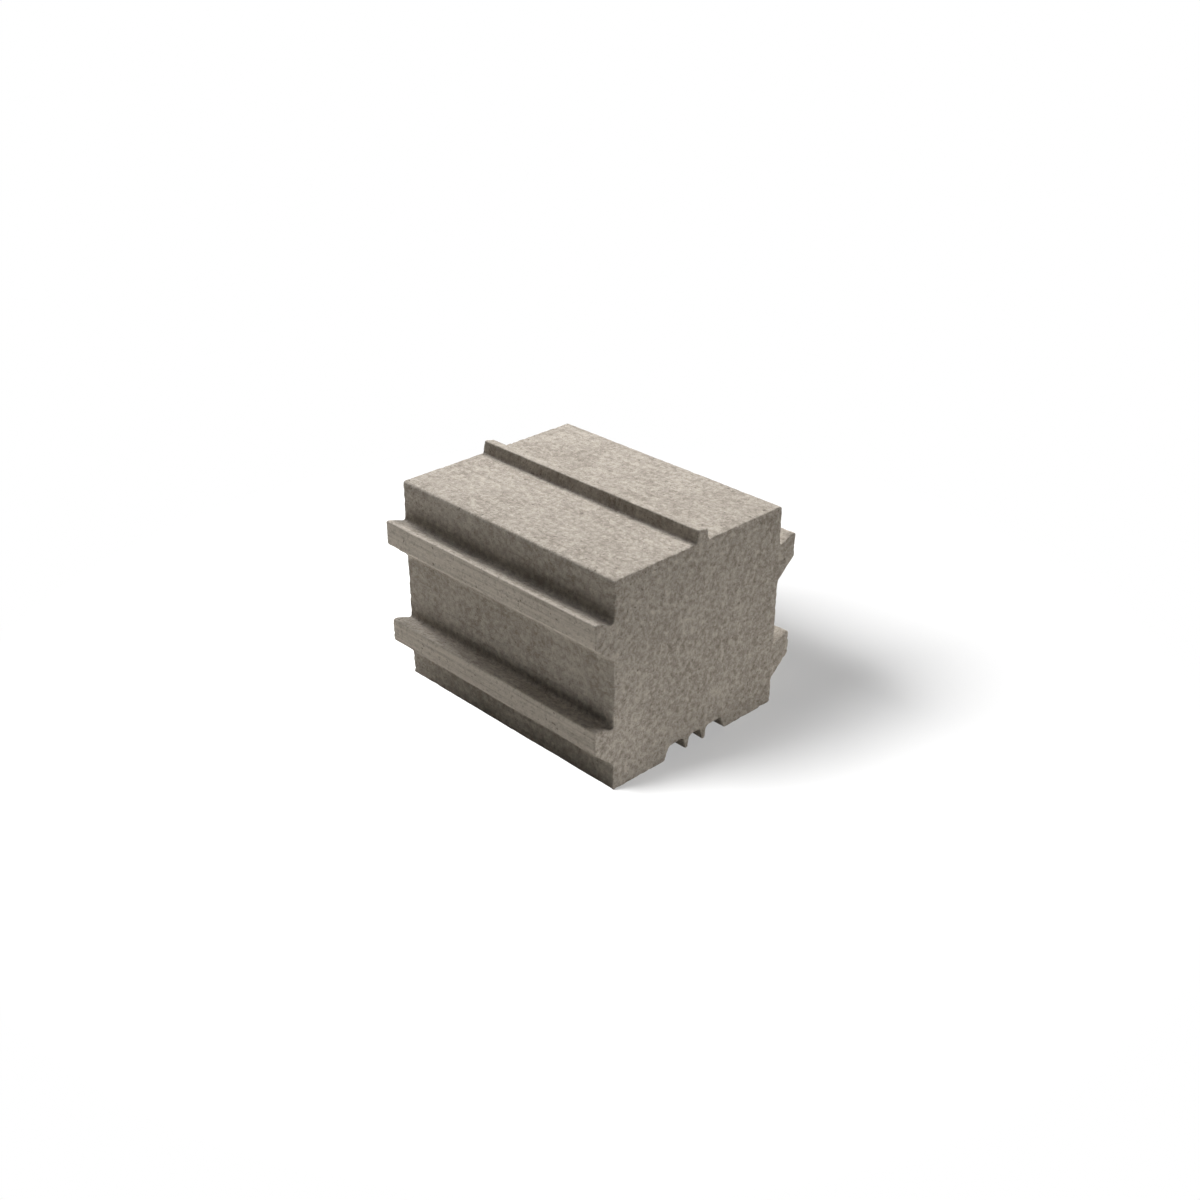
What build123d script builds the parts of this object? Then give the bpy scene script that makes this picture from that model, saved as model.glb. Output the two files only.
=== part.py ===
from build123d import *
import os

# Retaining wall block in tamped concrete, cast standing on one end, in one piece. Its section is drawn
# across the block and carried along its length, so every feature runs the full length and is open
# at both ends. X runs along the block, Y across it and Z up. The origin is the middle of the
# footprint, at the level of the ground. Sizes are in millimetres.

# Body
block_length = 203.0
course_height = 150.0
body_depth = 154.0
body_top_radius = 2.4
body_foot_radius = 1.6

# Hooked rails on both long sides. Their even pitch carries on from one course to the next.
rails_per_side = 2
rail_foot_height = 19.5
rail_underside_rise = 14.0
rail_face_height = 17.0
rail_reach = 16.0
rail_lip_width = 3.0
rail_hook_drop = 4.5
rail_edge_radius = 1.3
rail_root_radius = 2.2

# Ridge along the top, the key that the course above drops over. Its top falls towards +Y.
ridge_height = 9.2
ridge_base_width = 12.0
ridge_top_width = 9.4
ridge_top_fall = 2.0
ridge_high_edge_radius = 1.2
ridge_low_edge_radius = 2.0
ridge_root_radius = 1.0

# Channel in the underside, with two teeth that straddle the ridge of the course below
channel_mouth_width = 57.5
channel_ceiling_width = 50.5
channel_corner_radius = 2.0
tooth_root_width = 6.0
tooth_tip_width = 2.8
tooth_tip_radius = 0.9
tooth_root_radius = 2.6

# Clearances of the ridge in the slot between the teeth, and of the teeth's tips
ridge_top_clearance = 0.6
ridge_side_clearance = 0.8
tooth_tip_clearance = 0.8

# Places that follow from the sizes
rail_pitch = course_height / rails_per_side
wall_y = body_depth / 2
rail_face_y = wall_y + rail_reach
rail_face_foot = rail_foot_height + rail_underside_rise
rail_lip_height = rail_face_foot + rail_face_height
channel_depth = ridge_height + ridge_top_clearance
tooth_height = channel_depth - tooth_tip_clearance
slot_mouth_width = ridge_base_width + 2 * ridge_side_clearance
tooth_middle_y = (slot_mouth_width + tooth_tip_width) / 2

# How deep the foot of an added shape is sunk into the body, so that the two fuse over an area
sunk = 5.0


def limited(radius, *flats):
    """A rounding's radius, held to what the flats beside it leave room for."""
    return min([radius] + [0.45 * flat for flat in flats])


def tapered_bar(root_width, tip_width, height, fall=0.0):
    """Section of a bar standing on its root at the origin, narrowing to its tip, with a sunk foot.
    The tip can fall from its full height on the -Y side to a lower edge on the +Y side."""
    outline = Polyline(
        (-root_width / 2, -sunk),
        (-root_width / 2, 0),
        (-tip_width / 2, height),
        (tip_width / 2, height - fall),
        (root_width / 2, 0),
        (root_width / 2, -sunk),
        close=True,
    )
    return make_face(outline)


def rail(row):
    """Section of one rail on the +Y side: a slanted underside, an upright face, a narrow lip and a
    top that falls back towards the wall, so that the rail hooks what is pushed behind its lip."""
    outline = Polyline(
        (wall_y - sunk, rail_foot_height),
        (wall_y, rail_foot_height),
        (rail_face_y, rail_face_foot),
        (rail_face_y, rail_lip_height),
        (rail_face_y - rail_lip_width, rail_lip_height),
        (wall_y, rail_lip_height - rail_hook_drop),
        (wall_y - sunk, rail_lip_height - rail_hook_drop),
        close=True,
    )
    return Pos(0, row * rail_pitch) * make_face(outline)


def channel():
    """Section of the channel that is cut out of the underside, widening to its mouth."""
    outline = Polyline(
        (-channel_mouth_width / 2, 0),
        (-channel_ceiling_width / 2, channel_depth),
        (channel_ceiling_width / 2, channel_depth),
        (channel_mouth_width / 2, 0),
        close=True,
    )
    return make_face(outline)


def tooth(side):
    """Section of one of the two teeth that hang from the channel's ceiling, either side of the slot."""
    hanging = Rot(0, 0, 180) * tapered_bar(tooth_root_width, tooth_tip_width, tooth_height)
    return Pos(side * tooth_middle_y, channel_depth) * hanging


def corners(section, across, height, centre=0.0):
    """The section's corners at a distance either way from a centre line, at a height."""
    return [
        corner
        for corner in section.vertices()
        if abs(abs(corner.X - centre) - across) < 0.01 and abs(corner.Y - height) < 0.01
    ]


def round_rails(section):
    """Round each rail's lip and edges, and the roots where it meets the wall."""
    edge = limited(rail_edge_radius, rail_lip_width, rail_face_height)
    root = limited(rail_root_radius, rail_reach)
    for row in range(rails_per_side):
        lift = row * rail_pitch
        section = fillet(corners(section, rail_face_y, rail_face_foot + lift), edge)
        section = fillet(corners(section, rail_face_y, rail_lip_height + lift), edge)
        section = fillet(corners(section, rail_face_y - rail_lip_width, rail_lip_height + lift), edge)
        section = fillet(corners(section, wall_y, rail_foot_height + lift), root)
        section = fillet(corners(section, wall_y, rail_lip_height - rail_hook_drop + lift), root)
    return section


def round_ridge(section):
    """Round the ridge's high edge, its low edge and both its roots."""
    high = limited(ridge_high_edge_radius, ridge_top_width)
    low = limited(ridge_low_edge_radius, ridge_top_width)
    crest = course_height + ridge_height
    section = fillet(corners(section, 0, crest, -ridge_top_width / 2), high)
    section = fillet(corners(section, 0, crest - ridge_top_fall, ridge_top_width / 2), low)
    return fillet(corners(section, ridge_base_width / 2, course_height), ridge_root_radius)


def round_channel(section):
    """Round the channel's mouth and ceiling corners, and the tips and roots of the teeth."""
    tip = limited(tooth_tip_radius, tooth_tip_width)
    section = fillet(corners(section, channel_mouth_width / 2, 0), body_foot_radius)
    section = fillet(corners(section, channel_ceiling_width / 2, channel_depth), channel_corner_radius)
    for side in (-1, 1):
        centre = side * tooth_middle_y
        section = fillet(corners(section, tooth_tip_width / 2, tooth_tip_clearance, centre), tip)
        section = fillet(corners(section, tooth_root_width / 2, channel_depth, centre), tooth_root_radius)
    return section


def block_section():
    """The whole section: body, rails on both sides, ridge, channel and teeth, with all corners rounded."""
    section = Pos(0, course_height / 2) * Rectangle(body_depth, course_height)
    for row in range(rails_per_side):
        section += rail(row)
        section += mirror(rail(row), about=Plane.YZ)
    ridge = tapered_bar(ridge_base_width, ridge_top_width, ridge_height, ridge_top_fall)
    section += Pos(0, course_height) * ridge
    section -= channel()
    section += [tooth(-1), tooth(1)]
    section = fillet(corners(section, wall_y, course_height), body_top_radius)
    section = fillet(corners(section, wall_y, 0), body_foot_radius)
    return round_channel(round_ridge(round_rails(section)))


def block():
    """The block: its section carried half the length each way from the middle."""
    return extrude(Plane.YZ * block_section(), amount=block_length / 2, both=True)


os.makedirs("parts", exist_ok=True)
export_step(block(), "parts/block.step")
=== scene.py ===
"""Retaining wall block in tamped concrete: the finished look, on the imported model's frame."""
import logging
import math
from dataclasses import dataclass, field
from enum import Enum, auto
from typing import Any, Callable

import bmesh
import bpy
from mathutils import Matrix, Vector, kdtree


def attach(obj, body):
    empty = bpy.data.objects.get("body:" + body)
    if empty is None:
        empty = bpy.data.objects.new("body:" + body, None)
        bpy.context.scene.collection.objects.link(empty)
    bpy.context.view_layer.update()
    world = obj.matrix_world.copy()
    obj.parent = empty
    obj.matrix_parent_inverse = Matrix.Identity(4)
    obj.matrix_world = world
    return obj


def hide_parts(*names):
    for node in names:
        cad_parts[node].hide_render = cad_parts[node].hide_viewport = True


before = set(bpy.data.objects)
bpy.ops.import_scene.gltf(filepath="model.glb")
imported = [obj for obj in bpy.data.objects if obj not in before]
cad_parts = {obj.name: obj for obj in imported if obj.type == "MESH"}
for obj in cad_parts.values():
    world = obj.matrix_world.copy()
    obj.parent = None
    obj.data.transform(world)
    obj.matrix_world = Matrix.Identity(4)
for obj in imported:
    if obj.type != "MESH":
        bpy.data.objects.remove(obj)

LOG = logging.getLogger("retaining_wall_block")

# Every size is in metres, and this turns millimetres into them
MM = 0.001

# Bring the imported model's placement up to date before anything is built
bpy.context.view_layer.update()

# The block's own directions: X runs along it, Y across it and Z up
ALONG, ACROSS, UP = (1, 0, 0), (0, 1, 0), (0, 0, 1)

# Two places nearer to each other than this are the same place
TOUCH = 0.05 * MM

# A cut that passes this near to a vertex goes through it
ON_CUT = 0.001 * MM

# An emission of this colour and strength shows as plain white
WHITE = (1.0, 1.0, 1.0, 1.0)
WHITE_GLOW = 1.0

# The Mix node's sockets for two colours and their blend, which only their numbers tell apart
MIX_UNDER, MIX_OVER, MIX_BLEND = 6, 7, 2

# Short names for a place or direction, the test of a place, and Blender's node types
Triple = tuple[float, float, float]
Where = Callable[[Vector], bool]
Tree = bpy.types.NodeTree
Socket = bpy.types.NodeSocket


class Pick(Enum):
    """What an edit-mode selection takes hold of."""

    VERTICES = "VERT"
    EDGES = "EDGE"
    FACES = "FACE"


class Skin(Enum):
    """The parts of the block's surface that take relief of their own, by vertex group."""

    ARRISES = "arrises"
    STRUCK_ENDS = "struck_ends"
    SLIDING_FACES = "sliding_faces"


class Tone(Enum):
    """The concrete's colours, in sRGB."""

    DAMP_CEMENT = "#9C948A"
    PALE_CEMENT = "#A9A197"
    PALE_GRAIN = "#CBC2B6"
    DARK_GRAIN = "#6B6358"
    PORE = "#5C544C"


class Pattern(Enum):
    """What the concrete's patterns draw."""

    CLOUDS = auto()
    MOTTLES = auto()
    DRAGS = auto()
    GRAINS = auto()
    SAND = auto()
    PORES = auto()


class Zone(Enum):
    """Where on the block a layer of colour is laid."""

    ALL = auto()
    MOST_AT_ENDS = auto()
    DRAGGED = auto()
    # The rails' outer faces, which are laid paler
    RUBBED = auto()


class Growth(Enum):
    """How a share grows between two levels."""

    EVEN = "LINEAR"
    EASED = "SMOOTHSTEP"


def linear(colour: str) -> tuple[float, float, float, float]:
    """Turn an sRGB hex colour into linear light.

    Args:
        colour: Six hex digits after a hash mark.

    Returns:
        Red, green, blue and an alpha of one.
    """
    channels = [int(colour[i : i + 2], 16) / 255 for i in (1, 3, 5)]
    low_slope, knee, offset, power = 12.92, 0.04045, 0.055, 2.4
    light = [c / low_slope if c <= knee else ((c + offset) / (1 + offset)) ** power for c in channels]
    return (light[0], light[1], light[2], 1.0)


def add_node(tree: Tree, kind: str, links: dict[Any, Any] | None = None, **settings: Any) -> bpy.types.Node:
    """Add a node, set it up and link its inputs.

    Args:
        tree: The node tree that it goes into.
        kind: The node's type name.
        links: Input name or number to an output socket, or to a plain value.
        settings: Attributes of the node itself.

    Returns:
        The new node.
    """
    node = tree.nodes.new(kind)
    for name, value in settings.items():
        setattr(node, name, value)
    for name, value in (links or {}).items():
        if isinstance(value, Socket):
            tree.links.new(value, node.inputs[name])
        else:
            node.inputs[name].default_value = value
    return node


def bare_material(name: str) -> bpy.types.Material:
    """Make a material that has no nodes yet.

    Args:
        name: Its name.

    Returns:
        The material.
    """
    made = bpy.data.materials.new(name)
    made.use_nodes = True
    made.node_tree.nodes.clear()
    return made


def within(low_y: float, high_y: float, low_z: float, high_z: float) -> Where:
    """Make the test for a box of the section, wherever a point lies along the block."""
    return lambda p: low_y - TOUCH < p.y < high_y + TOUCH and low_z - TOUCH < p.z < high_z + TOUCH


def at(y: float, z: float) -> Where:
    """Make the test for one spot of the section."""
    return within(y, y, z, z)


@dataclass
class Workpiece:
    """A mesh on the bench, which is picked by place and shaped with the edit-mode operators.

    Args:
        obj: The object that holds the mesh.
    """

    obj: bpy.types.Object

    @classmethod
    def sheet(cls, name: str, at_x: float, width: float, height: float) -> "Workpiece":
        """Lay out an upright rectangular sheet across the block, standing on the ground.

        Args:
            name: The object's name.
            at_x: Where the sheet stands along the block.
            width: Its size along Y.
            height: Its size along Z.

        Returns:
            The sheet, in edit mode.
        """
        bpy.ops.object.select_all(action="DESELECT")
        quarter_turn = (0, math.pi / 2, 0)
        bpy.ops.mesh.primitive_plane_add(size=1, location=(at_x, 0, height / 2), rotation=quarter_turn)
        obj = bpy.context.object
        obj.name = obj.data.name = name
        obj.scale = (height, width, 1)
        bpy.ops.object.transform_apply(location=True, rotation=True, scale=True)
        bpy.ops.object.mode_set(mode="EDIT")
        return cls(obj)

    def pick_all(self) -> None:
        """Select the whole mesh."""
        bpy.ops.mesh.select_all(action="SELECT")

    def take(self, kind: Pick, test: Callable[[Any], bool]) -> None:
        """Select just what passes a test.

        Args:
            kind: Vertices, edges or faces.
            test: Tests one of them.
        """
        bpy.ops.mesh.select_all(action="DESELECT")
        bpy.ops.mesh.select_mode(type=kind.value)
        mesh = bmesh.from_edit_mesh(self.obj.data)
        items = {Pick.VERTICES: mesh.verts, Pick.EDGES: mesh.edges, Pick.FACES: mesh.faces}[kind]
        for item in [item for item in items if test(item)]:
            item.select_set(True)
        mesh.select_flush_mode()
        bmesh.update_edit_mesh(self.obj.data)

    def pick(self, kind: Pick, where: Where) -> None:
        """Select just what lies in a place.

        Args:
            kind: Vertices, edges or faces.
            where: Tests a point. An edge needs both its ends to pass, and a face its middle.
        """
        if kind is Pick.VERTICES:
            self.take(kind, lambda vertex: where(vertex.co))
        elif kind is Pick.EDGES:
            self.take(kind, lambda edge: all(where(vertex.co) for vertex in edge.verts))
        else:
            self.take(kind, lambda face: where(face.calc_center_median()))

    def pick_lengthwise(self, start: float, end: float, share: float) -> None:
        """Select the edges that run along the block through most of a stretch of it.

        Args:
            start: The stretch's low end along X.
            end: Its high end.
            share: How much of the stretch such an edge spans at least.
        """

        def runs_through(edge: bmesh.types.BMEdge) -> bool:
            """Tell whether an edge keeps to the stretch and spans enough of it."""
            low, high = sorted(vertex.co.x for vertex in edge.verts)
            return start - TOUCH < low and high < end + TOUCH and high - low > (end - start) * share

        self.take(Pick.EDGES, runs_through)

    def cut(self, point: Triple, normal: Triple, keep: float = ON_CUT) -> None:
        """Cut what is selected along a plane, through the vertices that lie nearer to it than keep."""
        bpy.ops.mesh.bisect(plane_co=point, plane_no=normal, threshold=keep)

    def cut_all(self, point: Triple, normal: Triple, keep: float = ON_CUT) -> None:
        """Cut the whole mesh along a plane, with the arguments of cut."""
        self.pick_all()
        self.cut(point, normal, keep)

    def extend(self, by: Triple) -> None:
        """Extrude what is selected by a vector."""
        bpy.ops.mesh.extrude_region_move(TRANSFORM_OT_translate={"value": by})

    def move(self, by: Triple) -> None:
        """Move what is selected by a vector."""
        bpy.ops.transform.translate(value=by)

    def narrow(self, centre: Triple, ratio: float) -> None:
        """Scale what is selected across the block, about a centre."""
        bpy.ops.transform.resize(value=(1, ratio, 1), center_override=centre)

    def round_off(self, kind: Pick, size: float, segments: int) -> None:
        """Bevel what is selected.

        Args:
            kind: Vertices of a flat sheet, or edges of a solid.
            size: How far along each neighbour the rounding starts.
            segments: Facets in the rounding.
        """
        affect = "VERTICES" if kind is Pick.VERTICES else "EDGES"
        bpy.ops.mesh.bevel(
            offset=size, offset_type="OFFSET", segments=segments, affect=affect, clamp_overlap=True
        )

    def done(self) -> None:
        """Leave edit mode."""
        bpy.ops.object.mode_set(mode="OBJECT")


@dataclass(frozen=True)
class Relief:
    """Relief that is cut into the mesh, inwards only.

    Args:
        skin: The part of the surface that it is held to.
        size: The width of its features.
        deepest: How deep it goes.
        start: The noise level at which it starts.
        full: The noise level at which it is deepest.
        along: How many times longer its features are along the block.
        octaves: How many sizes of noise it is made of.
    """

    skin: Skin
    size: float
    deepest: float
    start: float
    full: float
    along: float = 1.0
    octaves: int = 2

    def noise(self) -> bpy.types.Texture:
        """Make the noise that says how deep to cut.

        Returns:
            The texture, black where nothing is cut and white where the cut is deepest.
        """
        texture = bpy.data.textures.new(self.skin.value, type="CLOUDS")
        texture.noise_scale = self.size
        texture.noise_depth = self.octaves
        texture.noise_basis = "BLENDER_ORIGINAL"
        texture.use_color_ramp = True
        first, last = texture.color_ramp.elements
        first.position, last.position = self.start, self.full
        first.color, last.color = (0, 0, 0, 1), (1, 1, 1, 1)
        return texture

    def carve(self, piece: bpy.types.Object) -> None:
        """Cut the relief into a piece.

        Args:
            piece: The piece, whose mesh is fine enough to hold it.
        """
        bpy.ops.object.select_all(action="DESELECT")
        bpy.ops.object.empty_add(location=(0, 0, 0))
        ruler = bpy.context.object
        ruler.scale = (self.along, 1, 1)
        bpy.context.view_layer.update()
        cut = piece.modifiers.new("relief", "DISPLACE")
        cut.texture = self.noise()
        cut.texture_coords = "OBJECT"
        cut.texture_coords_object = ruler
        cut.direction = "NORMAL"
        cut.mid_level = 0.0
        cut.strength = -self.deepest
        cut.vertex_group = self.skin.value
        bpy.ops.object.select_all(action="DESELECT")
        piece.select_set(True)
        bpy.context.view_layer.objects.active = piece
        bpy.ops.object.modifier_apply(modifier=cut.name)
        bpy.data.objects.remove(ruler)


@dataclass(frozen=True)
class Speckle:
    """A noise pattern of the concrete.

    Args:
        pattern: What it draws.
        size: The width of its features.
        detail: How many finer octaves it has.
        roughness: How strong those are.
        length: How long its features are along the block, where that isn't their width.
    """

    pattern: Pattern
    size: float
    detail: float
    roughness: float = 0.5
    length: float | None = None


@dataclass(frozen=True)
class Layer:
    """A colour that is laid over those before it, as thickly as a pattern says.

    Args:
        pattern: The pattern.
        tone: The colour.
        start: The pattern's level at which the colour's share starts to grow.
        full: The level at which it is full.
        most: The share there.
        least: The share before the start.
        zone: Where on the block it is laid.
        growth: How the share grows in between.
    """

    pattern: Pattern
    tone: Tone
    start: float
    full: float
    most: float
    least: float = 0.0
    zone: Zone = Zone.ALL
    growth: Growth = Growth.EVEN


@dataclass(frozen=True)
class TampedConcrete:
    """Dry-mix concrete, tamped into a mould that stands on its end: grey-brown sand and cement.

    Sizes are in metres. Each pattern is as wide as what it draws is on such a block, but for the sand,
    which is nearer 0.4 mm. It is drawn at 0.8 mm, as coarse as it needs to be to show in the render.
    """

    # What it gives the eye: no skin of cement closes over the dry mix, so it is matt and sandy, with a
    # speckle of lighter and darker grains, small dark pores, and soft clouds where the mix was damper.
    # The long surfaces slid out of the mould, which drew faint lines along them. The faces of the rails
    # stand out the furthest and are laid paler. The ends were struck off, and are mottled the most.
    name: str = "tamped_concrete"
    roughness: float = 0.92
    gloss: float = 0.25
    ground: Tone = Tone.DAMP_CEMENT
    speckles: tuple[Speckle, ...] = (
        Speckle(Pattern.CLOUDS, size=38 * MM, detail=3.0),
        Speckle(Pattern.MOTTLES, size=4.2 * MM, detail=4.0, roughness=0.7),
        Speckle(Pattern.DRAGS, size=2.2 * MM, detail=2.0, length=90 * MM),
        Speckle(Pattern.SAND, size=0.8 * MM, detail=2.0, roughness=0.6),
        Speckle(Pattern.PORES, size=2.4 * MM, detail=1.0),
    )
    grain_size: float = 1.8 * MM

    # The colours over the ground, from the lowest to the pores on top
    layers: tuple[Layer, ...] = (
        Layer(Pattern.CLOUDS, Tone.PALE_CEMENT, start=0.35, full=0.65, most=1.0, growth=Growth.EASED),
        Layer(Pattern.MOTTLES, Tone.PALE_GRAIN, start=0.5, full=0.7, most=0.56, zone=Zone.MOST_AT_ENDS),
        Layer(Pattern.MOTTLES, Tone.DARK_GRAIN, start=0.5, full=0.3, most=0.5, zone=Zone.MOST_AT_ENDS),
        Layer(Pattern.DRAGS, Tone.DARK_GRAIN, start=0.5, full=0.25, most=0.35, zone=Zone.DRAGGED),
        # A paler colour over the rails' outer faces, streaked by the drag lines
        Layer(Pattern.DRAGS, Tone.PALE_GRAIN, start=0.35, full=0.62, most=0.9, least=0.42, zone=Zone.RUBBED),
        Layer(Pattern.GRAINS, Tone.PALE_GRAIN, start=0.72, full=1.0, most=0.35),
        Layer(Pattern.GRAINS, Tone.DARK_GRAIN, start=0.28, full=0.0, most=0.3),
        Layer(Pattern.SAND, Tone.PALE_GRAIN, start=0.52, full=0.75, most=0.45),
        Layer(Pattern.SAND, Tone.DARK_GRAIN, start=0.48, full=0.25, most=0.45),
        Layer(Pattern.PORES, Tone.PORE, start=0.68, full=0.8, most=0.8),
    )

    # Where the zones lie. A face turned towards an end by more than end_full is all end, and one turned
    # by less than end_start is all long surface. The rails' faces are what lies furthest from the middle.
    end_start: float = 0.3
    end_full: float = 0.7
    end_mottle: float = 1.35
    # Across the block, the rails' outer faces start to be laid paler at the first distance and are fully
    # paler at the second. The third strengthens their drag lines.
    pale_faces_from: float = 90.5 * MM
    pale_faces_full: float = 92.6 * MM
    pale_faces_drag: float = 0.8

    # The bump, and how far each pattern stands out from its middle level, as a share of its height
    bump_height: float = 0.4 * MM
    bump_strength: float = 0.5
    bump_middle: float = 0.5
    grain_rise: float = -0.5
    pore_rise: float = -1.5
    mottle_rise: float = 1.0
    sand_rise: float = 0.6

    def draw_speckles(self, tree: Tree, place: Socket) -> dict[Pattern, Socket]:
        """Draw the noise patterns.

        Args:
            tree: The material's tree.
            place: The place on the block.

        Returns:
            Each pattern's level.
        """
        drawn = {}
        for speckle in self.speckles:
            vector = place
            if speckle.length:
                stretch = {"Vector": place, "Scale": (speckle.size / speckle.length, 1, 1)}
                vector = add_node(tree, "ShaderNodeMapping", stretch).outputs[0]
            look = {"Scale": 1 / speckle.size, "Detail": speckle.detail, "Roughness": speckle.roughness}
            noise = add_node(tree, "ShaderNodeTexNoise", {"Vector": vector, **look})
            drawn[speckle.pattern] = noise.outputs["Fac"]
        return drawn

    def find_zones(self, tree: Tree, place: Socket) -> dict[Zone, Socket]:
        """Find the zones from which way the surface faces and how far from the middle it lies.

        Args:
            tree: The material's tree.
            place: The place on the block.

        Returns:
            How strongly each zone's layers are laid.
        """
        normal = add_node(tree, "ShaderNodeNewGeometry").outputs["Normal"]
        facing = add_node(tree, "ShaderNodeSeparateXYZ", {0: normal}).outputs["X"]
        turned = add_node(tree, "ShaderNodeMath", {0: facing}, operation="ABSOLUTE").outputs[0]
        lengthwise = {"From Min": self.end_start, "From Max": self.end_full, "To Min": 1.0, "To Max": 0.0}
        sliding = add_node(tree, "ShaderNodeMapRange", {"Value": turned, **lengthwise}).outputs[0]
        strength = {"To Min": self.end_mottle, "To Max": 1.0}
        mottled = add_node(tree, "ShaderNodeMapRange", {"Value": sliding, **strength}).outputs[0]

        across = add_node(tree, "ShaderNodeSeparateXYZ", {0: place}).outputs["Y"]
        apart = add_node(tree, "ShaderNodeMath", {0: across}, operation="ABSOLUTE").outputs[0]
        # The rails' outer faces, which are laid paler
        furthest = {"Value": apart, "From Min": self.pale_faces_from, "From Max": self.pale_faces_full}
        ramp = add_node(tree, "ShaderNodeMapRange", furthest, interpolation_type=Growth.EASED.value)
        held = {0: ramp.outputs[0], 1: sliding}
        pale_faces = add_node(tree, "ShaderNodeMath", held, operation="MULTIPLY").outputs[0]
        marked = {0: pale_faces, 1: self.pale_faces_drag, 2: sliding}
        dragged = add_node(tree, "ShaderNodeMath", marked, operation="MULTIPLY_ADD").outputs[0]
        return {Zone.MOST_AT_ENDS: mottled, Zone.DRAGGED: dragged, Zone.RUBBED: pale_faces}

    def lay_colours(
        self, tree: Tree, patterns: dict[Pattern, Socket], zones: dict[Zone, Socket]
    ) -> tuple[Socket, dict[Pattern, Socket]]:
        """Lay the colours over each other.

        Args:
            tree: The material's tree.
            patterns: Each pattern's level.
            zones: How strongly each zone's layers are laid.

        Returns:
            The colour, and for each pattern the share of its last layer.
        """
        colour: Any = linear(self.ground.value)
        shares: dict[Pattern, Socket] = {}
        for layer in self.layers:
            grown = {
                "Value": patterns[layer.pattern],
                "From Min": layer.start,
                "From Max": layer.full,
                "To Min": layer.least,
                "To Max": layer.most,
            }
            ramp = add_node(tree, "ShaderNodeMapRange", grown, interpolation_type=layer.growth.value)
            share = ramp.outputs[0]
            if layer.zone in zones:
                held = {0: share, 1: zones[layer.zone]}
                share = add_node(tree, "ShaderNodeMath", held, operation="MULTIPLY").outputs[0]
            mixed = {0: share, MIX_UNDER: colour, MIX_OVER: linear(layer.tone.value)}
            colour = add_node(tree, "ShaderNodeMix", mixed, data_type="RGBA").outputs[MIX_BLEND]
            shares[layer.pattern] = share
        return colour, shares

    def material(self) -> bpy.types.Material:
        """Make the material.

        Returns:
            The material.
        """
        made = bare_material(self.name)
        tree = made.node_tree
        place = add_node(tree, "ShaderNodeTexCoord").outputs["Object"]
        cells = {"Vector": place, "Scale": 1 / self.grain_size}
        grains = add_node(tree, "ShaderNodeTexVoronoi", cells, feature="F1").outputs
        patterns = self.draw_speckles(tree, place)
        patterns[Pattern.GRAINS] = add_node(tree, "ShaderNodeSeparateColor", {0: grains["Color"]}).outputs[0]
        colour, shares = self.lay_colours(tree, patterns, self.find_zones(tree, place))

        height: Any = self.bump_middle
        for level, rise in (
            (grains["Distance"], self.grain_rise),
            (shares[Pattern.PORES], self.pore_rise),
            (patterns[Pattern.MOTTLES], self.mottle_rise),
            (patterns[Pattern.SAND], self.sand_rise),
        ):
            raised = {0: level, 1: rise, 2: height}
            height = add_node(tree, "ShaderNodeMath", raised, operation="MULTIPLY_ADD").outputs[0]
        relief = {"Height": height, "Strength": self.bump_strength, "Distance": self.bump_height}
        bump = add_node(tree, "ShaderNodeBump", relief).outputs[0]
        look = {"Base Color": colour, "Roughness": self.roughness, "Specular IOR Level": self.gloss}
        shader = add_node(tree, "ShaderNodeBsdfPrincipled", {"Normal": bump, **look}).outputs[0]
        add_node(tree, "ShaderNodeOutputMaterial", {"Surface": shader})
        return made


@dataclass(frozen=True)
class Corner:
    """Corners of the section that share one rounding, one each side of a centre line.

    Args:
        centre: Where the centre line stands along Y.
        across: How far from it the two corners lie, or 0 for a single corner.
        level: Their height.
        size: How far from the corner its rounding starts.
    """

    centre: float
    across: float
    level: float
    size: float


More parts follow.
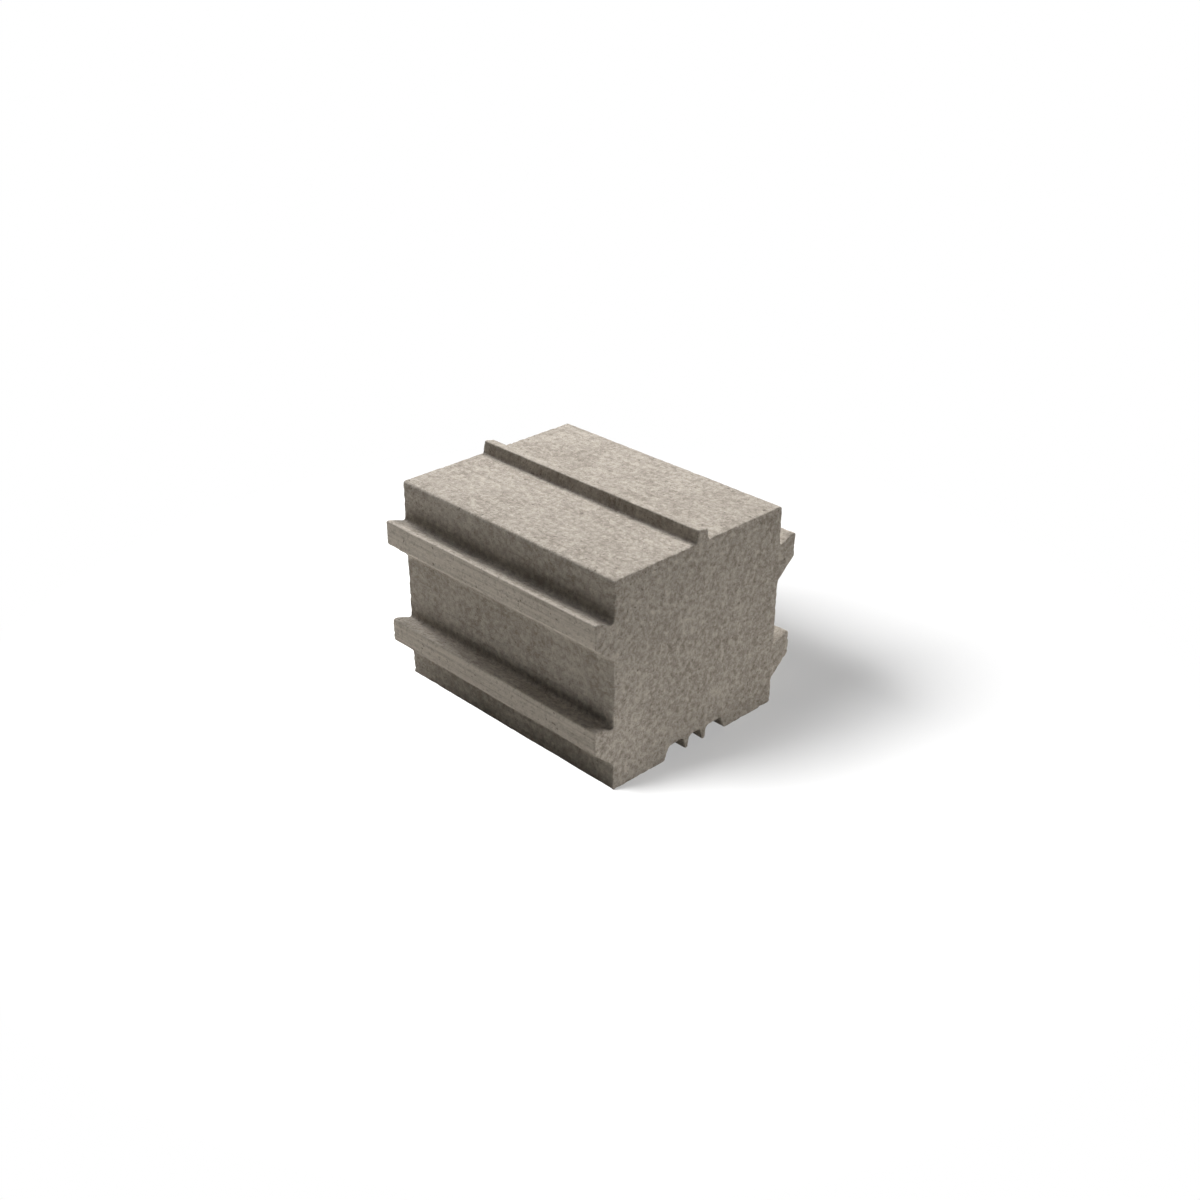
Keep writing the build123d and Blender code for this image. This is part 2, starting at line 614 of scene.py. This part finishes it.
@dataclass
class BlockCasting:
    """The block itself, one casting: a section drawn across it and carried along its length.

    All sizes are in metres. The section's sizes are those of the solid that it replaces, but a rounding is
    given by how far from its corner it starts, and not by its radius.
    """

    node: str = "block"
    name: str = "concrete_block"

    # Body
    length: float = 203 * MM
    height: float = 150 * MM
    depth: float = 154 * MM
    top_round: float = 2.4 * MM
    foot_round: float = 1.6 * MM

    # Hooked rails
    rail_rows: int = 2
    rail_foot: float = 19.5 * MM
    rail_rise: float = 14 * MM
    rail_face: float = 17 * MM
    rail_reach: float = 16 * MM
    rail_lip: float = 3 * MM
    rail_drop: float = 4.5 * MM
    rail_round: float = 1.3 * MM
    rail_root_round: float = 2.6 * MM

    # Ridge along the top
    ridge_height: float = 9.2 * MM
    ridge_base: float = 12 * MM
    ridge_top: float = 9.4 * MM
    ridge_fall: float = 2.0 * MM
    ridge_high_round: float = 1.2 * MM
    ridge_low_round: float = 2.0 * MM
    ridge_root_round: float = 1.0 * MM

    # Channel underneath, with its two teeth
    channel_mouth: float = 57.5 * MM
    channel_ceiling: float = 50.5 * MM
    channel_depth: float = 9.8 * MM
    channel_round: float = 1.4 * MM
    tooth_root: float = 6 * MM
    tooth_tip: float = 2.8 * MM
    tooth_height: float = 9 * MM
    tooth_middle: float = 8.2 * MM
    tooth_tip_round: float = 0.8 * MM
    tooth_root_round: float = 2.2 * MM

    # Two faces of the sheet that turn by less than this are one flat face
    flat_turn: float = math.radians(0.5)

    # Facets of each rounding, and the small arris round both end faces
    round_facets: int = 3
    end_round: float = 0.7 * MM
    end_facets: int = 2

    # The mesh that carries the relief: its spacing across, along, and near the ends. A vertex nearer to a
    # cut than mesh_keep stays, and an edge through more than length_share of a stretch is divided with it.
    mesh_across: float = 1.4 * MM
    mesh_along: float = 2.6 * MM
    mesh_near_ends: float = 1.4 * MM
    end_band: float = 9 * MM
    mesh_keep: float = 0.3 * MM
    length_share: float = 0.8

    # How an arris and an end are told from the rest, and the relief. The long surfaces get waves and drag
    # lines, the ends unevenness and pits, and the arrises are nibbled, more so the nearer to the edge.
    end_slack: float = 0.01 * MM
    arris_turn: float = math.radians(12)
    arris_reach: float = 3.5 * MM
    reliefs: tuple[Relief, ...] = (
        Relief(Skin.SLIDING_FACES, size=30 * MM, deepest=0.25 * MM, start=0.3, full=0.7),
        Relief(Skin.SLIDING_FACES, size=3.0 * MM, deepest=0.12 * MM, start=0.35, full=0.65, along=18),
        Relief(Skin.STRUCK_ENDS, size=5 * MM, deepest=0.2 * MM, start=0.35, full=0.65),
        Relief(Skin.STRUCK_ENDS, size=2.6 * MM, deepest=0.7 * MM, start=0.66, full=0.78),
        Relief(Skin.ARRISES, size=5 * MM, deepest=0.3 * MM, start=0.5, full=0.8),
    )

    piece: bpy.types.Object = field(init=False)

    @property
    def wall(self) -> float:
        """How far the long walls stand from the middle."""
        return self.depth / 2

    @property
    def outer(self) -> float:
        """How far the rails' faces stand from the middle."""
        return self.wall + self.rail_reach

    @property
    def crest(self) -> float:
        """Height of the ridge's high edge."""
        return self.height + self.ridge_height

    def lift(self, row: int) -> float:
        """How far a row of rails is above the lowest one."""
        return row * self.height / self.rail_rows

    def lip(self, row: int) -> float:
        """Height of a row's lips."""
        return self.rail_foot + self.rail_rise + self.rail_face + self.lift(row)

    def draw_rails(self, sheet: Workpiece) -> None:
        """Extend the sheet sideways into the rails, as seen from the end.

        Args:
            sheet: The section's sheet, still a plain rectangle.
        """
        inner_reach = self.rail_reach - self.rail_lip
        inner_rise = self.rail_rise * inner_reach / self.rail_reach
        for row in range(self.rail_rows):
            foot = self.rail_foot + self.lift(row)
            lip = self.lip(row)
            root = lip - self.rail_drop
            for level in (foot, root):
                sheet.cut_all((0, 0, level), UP)
            for side in (-1, 1):
                wall_y, outer_y = side * self.wall, side * self.outer
                inner_y = side * (self.wall + inner_reach)
                # The rail as far as its lip, with its top raised and its underside slanted
                sheet.pick(Pick.EDGES, within(wall_y, wall_y, foot, root))
                sheet.extend((0, side * inner_reach, 0))
                sheet.pick(Pick.VERTICES, at(inner_y, root))
                sheet.move((0, 0, self.rail_drop))
                sheet.pick(Pick.VERTICES, at(inner_y, foot))
                sheet.move((0, 0, inner_rise))
                # The lip and the rail's face, with the rest of the slant
                sheet.pick(Pick.EDGES, within(inner_y, inner_y, foot, lip))
                sheet.extend((0, side * self.rail_lip, 0))
                sheet.pick(Pick.VERTICES, at(outer_y, foot + inner_rise))
                sheet.move((0, 0, self.rail_rise - inner_rise))

    def draw_ridge(self, sheet: Workpiece) -> None:
        """Extend the middle of the sheet's top into the ridge.

        Args:
            sheet: The section's sheet.
        """
        half = self.ridge_base / 2
        highest_root = self.lip(self.rail_rows - 1) - self.rail_drop
        for side in (-1, 1):
            sheet.pick(Pick.FACES, lambda p: p.z > highest_root)
            sheet.cut((0, side * half, 0), ACROSS)
        sheet.pick(Pick.EDGES, within(-half, half, self.height, self.height))
        sheet.extend((0, 0, self.ridge_height))
        sheet.narrow((0, 0, self.height), self.ridge_top / self.ridge_base)
        sheet.pick(Pick.VERTICES, at(self.ridge_top / 2, self.crest))
        sheet.move((0, 0, -self.ridge_fall))

    def draw_channel(self, sheet: Workpiece) -> None:
        """Cut the channel out of the sheet's foot and hang the two teeth from its ceiling.

        Args:
            sheet: The section's sheet.
        """
        ceiling = self.channel_depth
        sheet.cut_all((0, 0, ceiling), UP)
        slant = (self.channel_mouth - self.channel_ceiling) / 2
        for side in (-1, 1):
            sheet.pick(Pick.FACES, lambda p: p.z < ceiling)
            sheet.cut((0, side * self.channel_mouth / 2, 0), (0, side * ceiling, slant))
        sheet.pick(Pick.FACES, lambda p: p.z < ceiling and abs(p.y) < self.channel_ceiling / 2)
        bpy.ops.mesh.delete(type="FACE")
        half = self.tooth_root / 2
        for side in (-1, 1):
            centre = side * self.tooth_middle
            for flank in (-1, 1):
                sheet.pick(Pick.FACES, lambda p: ceiling < p.z < self.rail_foot)
                sheet.cut((0, centre + flank * half, 0), ACROSS)
            sheet.pick(Pick.EDGES, within(centre - half, centre + half, ceiling, ceiling))
            sheet.extend((0, 0, -self.tooth_height))
            sheet.narrow((0, centre, ceiling), self.tooth_tip / self.tooth_root)

    def corners(self) -> list[Corner]:
        """List the section's corners.

        Returns:
            Every corner, in the order in which they are rounded.
        """
        corners: list[Corner] = []
        for row in range(self.rail_rows):
            lip, foot = self.lip(row), self.rail_foot + self.lift(row)
            corners += [
                Corner(0, self.outer, foot + self.rail_rise, self.rail_round),
                Corner(0, self.outer, lip, self.rail_round),
                Corner(0, self.outer - self.rail_lip, lip, self.rail_round),
                Corner(0, self.wall, foot, self.rail_root_round),
                Corner(0, self.wall, lip - self.rail_drop, self.rail_root_round),
            ]
        corners += [
            Corner(0, self.wall, self.height, self.top_round),
            Corner(0, self.wall, 0, self.foot_round),
            Corner(-self.ridge_top / 2, 0, self.crest, self.ridge_high_round),
            Corner(self.ridge_top / 2, 0, self.crest - self.ridge_fall, self.ridge_low_round),
            Corner(0, self.ridge_base / 2, self.height, self.ridge_root_round),
            Corner(0, self.channel_mouth / 2, 0, self.foot_round),
            Corner(0, self.channel_ceiling / 2, self.channel_depth, self.channel_round),
        ]
        tip_level = self.channel_depth - self.tooth_height
        for side in (-1, 1):
            centre = side * self.tooth_middle
            corners += [
                Corner(centre, self.tooth_tip / 2, tip_level, self.tooth_tip_round),
                Corner(centre, self.tooth_root / 2, self.channel_depth, self.tooth_root_round),
            ]
        return corners

    def round_corners(self, sheet: Workpiece) -> None:
        """Round the section's corners, each to its own size.

        Args:
            sheet: The section's sheet, dissolved into one face.
        """
        for corner in self.corners():
            one = at(corner.centre - corner.across, corner.level)
            other = at(corner.centre + corner.across, corner.level)
            sheet.pick(Pick.VERTICES, lambda p: one(p) or other(p))
            sheet.round_off(Pick.VERTICES, corner.size, self.round_facets)

    def draw_out(self, sheet: Workpiece) -> None:
        """Carry the section along the block and soften the arrises round both ends.

        Args:
            sheet: The section's sheet, with its corners rounded.
        """
        sheet.pick_all()
        sheet.extend((self.length, 0, 0))
        sheet.pick_all()
        bpy.ops.mesh.normals_make_consistent(inside=False)
        for side in (1, -1):
            sheet.pick(Pick.EDGES, lambda p: side * p.x > self.length / 2 - TOUCH)
            sheet.round_off(Pick.EDGES, self.end_round, self.end_facets)

    def dice(self, solid: Workpiece) -> None:
        """Cut the solid into a fine even mesh that can carry the relief.

        Args:
            solid: The plain solid, with long faces.
        """
        across = math.ceil(2 * self.outer / self.mesh_across)
        up = math.ceil(self.crest / self.mesh_across)
        for i in range(1, across):
            solid.cut_all((0, -self.outer + 2 * self.outer * i / across, 0), ACROSS, self.mesh_keep)
        for i in range(1, up):
            solid.cut_all((0, 0, self.crest * i / up), UP, self.mesh_keep)
        end = self.length / 2
        band = end - self.end_band
        for side in (-1, 1):
            solid.cut_all((side * band, 0, 0), ALONG)
        stretches = (
            (-band, band, self.mesh_along),
            (band, end, self.mesh_near_ends),
            (-end, -band, self.mesh_near_ends),
        )
        for low, high, step in stretches:
            solid.pick_lengthwise(low, high, self.length_share)
            bpy.ops.mesh.subdivide(number_cuts=math.ceil((high - low) / step) - 1)

    def find_arrises(self) -> None:
        """Weigh every vertex by how near it lies to an outer edge of the block, where concrete wears."""
        mesh = bmesh.new()
        mesh.from_mesh(self.piece.data)
        edge_points = [
            v.co.copy()
            for v in mesh.verts
            if any(e.is_convex and e.calc_face_angle(0) > self.arris_turn for e in v.link_edges)
        ]
        tree = kdtree.KDTree(len(edge_points))
        for number, point in enumerate(edge_points):
            tree.insert(point, number)
        tree.balance()
        group = self.piece.vertex_groups.new(name=Skin.ARRISES.value)
        for vertex in mesh.verts:
            gap = tree.find(vertex.co)[2]
            if gap < self.arris_reach:
                group.add([vertex.index], 1 - gap / self.arris_reach, "REPLACE")
        mesh.free()

    def find_faces(self) -> None:
        """Group the two struck ends, and the long surfaces that slid along the mould."""
        ends = self.piece.vertex_groups.new(name=Skin.STRUCK_ENDS.value)
        longs = self.piece.vertex_groups.new(name=Skin.SLIDING_FACES.value)
        limit = self.length / 2 - self.end_round - self.end_slack
        for vertex in self.piece.data.vertices:
            (ends if abs(vertex.co.x) > limit else longs).add([vertex.index], 1.0, "REPLACE")

    def weather(self) -> None:
        """Give the mesh the unevenness, pits and nibbled arrises of tamped concrete, all cut inwards."""
        for relief in self.reliefs:
            relief.carve(self.piece)

    def build(self) -> bpy.types.Object:
        """Model the block from a flat sheet of its section.

        Returns:
            The finished mesh's object.
        """
        sheet = Workpiece.sheet(self.name, -self.length / 2, self.depth, self.height)
        self.draw_rails(sheet)
        self.draw_ridge(sheet)
        self.draw_channel(sheet)
        sheet.pick_all()
        bpy.ops.mesh.dissolve_limited(angle_limit=self.flat_turn)
        self.round_corners(sheet)
        self.draw_out(sheet)
        self.dice(sheet)
        sheet.done()
        self.piece = sheet.obj
        self.find_arrises()
        self.find_faces()
        self.weather()
        bpy.ops.object.shade_smooth()
        return self.piece

    def dress(self, finish: TampedConcrete) -> None:
        """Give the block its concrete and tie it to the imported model.

        Args:
            finish: The concrete.
        """
        self.piece.data.materials.clear()
        self.piece.data.materials.append(finish.material())
        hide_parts(self.node)
        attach(self.piece, "root")


@dataclass(frozen=True)
class PaleFloor:
    """A plain studio floor of board rolled with matt white paint, which keeps the block's shadow.

    It is laid in two sheets. The camera sees the upper one, which takes only the shadow lamp. Light
    bounces off the lower one, which takes only the other lamps. Sizes are in metres.
    """

    # What it gives the eye: plain white with no gloss, on which nothing shows but the soft shadow.
    # Near the block the seen sheet is lit by its own lamp, and glows by what that leaves short of white.
    # From fade_start to fade_end it turns into plain white.
    seen_name: str = "studio_floor"
    bounce_name: str = "studio_floor_bounce"
    bounce_drop: float = 0.2 * MM
    side: float = 12.0
    seen_glow: float = 0.415
    seen_colour: str = "#A8A8A8"
    bounce_colour: str = "#ECEAE6"
    fade_start: float = 0.28
    fade_end: float = 0.45

    def lay(self, name: str, level: float, finish: bpy.types.Material) -> bpy.types.Object:
        """Lay one sheet.

        Args:
            name: The sheet's name.
            level: Its height.
            finish: Its material.

        Returns:
            The sheet.
        """
        bpy.ops.object.select_all(action="DESELECT")
        bpy.ops.mesh.primitive_plane_add(size=self.side, location=(0, 0, level))
        sheet = bpy.context.object
        sheet.name = sheet.data.name = name
        sheet.data.materials.append(finish)
        return sheet

    def build(self) -> tuple[bpy.types.Object, bpy.types.Object]:
        """Lay both sheets.

        Returns:
            The sheet that is seen and the one that light bounces off.
        """
        seen = self.lay(self.seen_name, 0.0, self.seen_finish())
        seen.visible_diffuse = seen.visible_glossy = seen.visible_transmission = seen.visible_shadow = False
        bounce = self.lay(self.bounce_name, -self.bounce_drop, self.bounce_finish())
        bounce.visible_camera = False
        return seen, bounce

    def bounce_finish(self) -> bpy.types.Material:
        """Make the matt white that throws light back up.

        Returns:
            The material.
        """
        made = bare_material(self.bounce_name)
        tree = made.node_tree
        matt = add_node(tree, "ShaderNodeBsdfDiffuse", {"Color": linear(self.bounce_colour)}).outputs[0]
        add_node(tree, "ShaderNodeOutputMaterial", {"Surface": matt})
        return made

    def seen_finish(self) -> bpy.types.Material:
        """Make the matt white that the camera sees, plain white away from the block.

        Returns:
            The material.
        """
        made = bare_material(self.seen_name)
        tree = made.node_tree
        place = add_node(tree, "ShaderNodeTexCoord").outputs["Object"]
        reach = add_node(tree, "ShaderNodeVectorMath", {0: place}, operation="LENGTH").outputs["Value"]
        fade = {"Value": reach, "From Min": self.fade_start, "From Max": self.fade_end}
        ramp = add_node(tree, "ShaderNodeMapRange", fade, interpolation_type=Growth.EASED.value)
        glow = add_node(tree, "ShaderNodeEmission", {"Color": WHITE, "Strength": self.seen_glow}).outputs[0]
        white = add_node(tree, "ShaderNodeEmission", {"Color": WHITE, "Strength": WHITE_GLOW}).outputs[0]
        shaded = add_node(tree, "ShaderNodeBsdfDiffuse", {"Color": linear(self.seen_colour)}).outputs[0]
        near = add_node(tree, "ShaderNodeAddShader", {0: glow, 1: shaded}).outputs[0]
        seen = add_node(tree, "ShaderNodeMixShader", {0: ramp.outputs[0], 1: near, 2: white}).outputs[0]
        add_node(tree, "ShaderNodeOutputMaterial", {"Surface": seen})
        return made


@dataclass(frozen=True)
class SoftLamp:
    """A square soft box.

    Args:
        name: The lamp's name.
        place: Where it hangs.
        aim: The point that it faces.
        side: Its size.
        level: The light that it gives a surface facing it at the aim, where 1 renders a colour as written.
        lights_seen_floor: Whether it lights only the floor that is seen, or all but that floor.
    """

    name: str
    place: Triple
    aim: Triple
    side: float
    level: float
    lights_seen_floor: bool = False

    def hang(self, seen_floor: bpy.types.Object, others: tuple[bpy.types.Object, ...]) -> None:
        """Hang the lamp.

        Args:
            seen_floor: The floor that the camera sees.
            others: Everything else that takes light.
        """
        towards = Vector(self.aim) - Vector(self.place)
        lamp = bpy.data.lights.new(self.name, type="AREA")
        lamp.shape = "SQUARE"
        lamp.size = self.side
        # At a distance d, a lamp of pi squared times d squared watts renders a facing colour as written
        lamp.energy = self.level * math.pi**2 * towards.length_squared
        hung = bpy.data.objects.new(self.name, lamp)
        hung.location = self.place
        hung.rotation_euler = towards.to_track_quat("-Z", "Y").to_euler()
        hung.visible_camera = False
        bpy.context.scene.collection.objects.link(hung)
        lit = bpy.data.collections.new(self.name + "_lights")
        for thing in (seen_floor,) if self.lights_seen_floor else others:
            lit.objects.link(thing)
        hung.light_linking.receiver_collection = lit


@dataclass
class Studio:
    """Floor, soft light, white surroundings and the camera."""

    floor: PaleFloor = PaleFloor()

    # Large soft boxes light the block from the far end and from above. Two small ones stand near the end
    # that the photograph shows, which they keep from going dark, and the last makes the floor's shadow.
    lamps: tuple[SoftLamp, ...] = (
        SoftLamp("key_soft_box", (-1.887, 0.265, 1.18), (0, 0, 0.08), side=0.7, level=0.69),
        SoftLamp("overhead_soft_box", (0.0, 0.895, 2.09), (0, 0, 0.08), side=1.0, level=0.99),
        SoftLamp("low_soft_box", (-2.092, 0.0, 0.76), (0, 0, 0.08), side=0.9, level=0.41),
        SoftLamp("side_fill", (-1.2, -0.9, 1.6), (0, 0, 0.08), side=0.8, level=0.06),
        SoftLamp("front_fill", (0.26, 0.02, 0.02), (0.1, 0, 0.03), side=0.12, level=0.297),
        SoftLamp("corner_fill", (0.15, -0.076, 0.03), (0.1, -0.09, 0.045), side=0.05, level=0.172),
        SoftLamp(
            "shadow_soft_box", (-0.499, -0.824, 1.101), (0, 0, 0), 0.845, level=4.1, lights_seen_floor=True
        ),
    )
    surround_glow: float = 0.005

    # The camera stands where the photograph's stood, turned about its line of sight by roll. Its lens and
    # sensor are in millimetres.
    eye: Triple = (0.6593, -0.6358, 0.5612)
    sight: Triple = (-0.6294, 0.6166, -0.4728)
    roll: float = math.radians(0.288)
    lens: float = 45.39
    sensor: float = 36.0
    clip: tuple[float, float] = (0.05, 50.0)

    def build(self, piece: bpy.types.Object) -> bpy.types.Object:
        """Set the studio up.

        Args:
            piece: The block.

        Returns:
            The floor that is seen.
        """
        floor, bounce = self.floor.build()
        for lamp in self.lamps:
            lamp.hang(floor, (piece, bounce))
        self.surround()
        self.place_camera()
        bpy.context.scene.view_settings.view_transform = "Standard"
        return floor

    def surround(self) -> None:
        """Make the surroundings white to look at and dim as a light."""
        world = bpy.data.worlds.new("studio_surround")
        world.use_nodes = True
        tree = world.node_tree
        tree.nodes.clear()
        rays = add_node(tree, "ShaderNodeLightPath").outputs
        seen = rays["Is Camera Ray"]
        for ray in ("Is Glossy Ray", "Is Transmission Ray"):
            seen = add_node(tree, "ShaderNodeMath", {0: seen, 1: rays[ray]}, operation="MAXIMUM").outputs[0]
        levels = {"Value": seen, "To Min": self.surround_glow, "To Max": WHITE_GLOW}
        level = add_node(tree, "ShaderNodeMapRange", levels).outputs[0]
        glow = add_node(tree, "ShaderNodeBackground", {"Color": WHITE, "Strength": level}).outputs[0]
        add_node(tree, "ShaderNodeOutputWorld", {"Surface": glow})
        bpy.context.scene.world = world

    def place_camera(self) -> None:
        """Set the camera up at the photograph's place and angle."""
        forward = Vector(self.sight).normalized()
        level_right = forward.cross(Vector(UP)).normalized()
        level_up = level_right.cross(forward)
        right = level_right * math.cos(self.roll) + level_up * math.sin(self.roll)
        up = level_up * math.cos(self.roll) - level_right * math.sin(self.roll)
        lens = bpy.data.cameras.new("camera")
        lens.sensor_fit = "HORIZONTAL"
        lens.sensor_width = self.sensor
        lens.lens = self.lens
        lens.clip_start, lens.clip_end = self.clip
        camera = bpy.data.objects.new("camera", lens)
        turn = Matrix((right, up, -forward)).transposed()
        camera.matrix_world = Matrix.Translation(self.eye) @ turn.to_4x4()
        bpy.context.scene.collection.objects.link(camera)
        bpy.context.scene.camera = camera


def main() -> None:
    """Build, dress and light the block, and report each piece."""
    logging.basicConfig(level=logging.INFO, format="%(message)s")
    block = BlockCasting()
    piece = block.build()
    block.dress(TampedConcrete())
    LOG.info("%s: %d faces", piece.name, len(piece.data.polygons))
    floor = Studio().build(piece)
    LOG.info("%s: %g m square", floor.name, floor.dimensions.x)


if __name__ == "__main__":
    main()
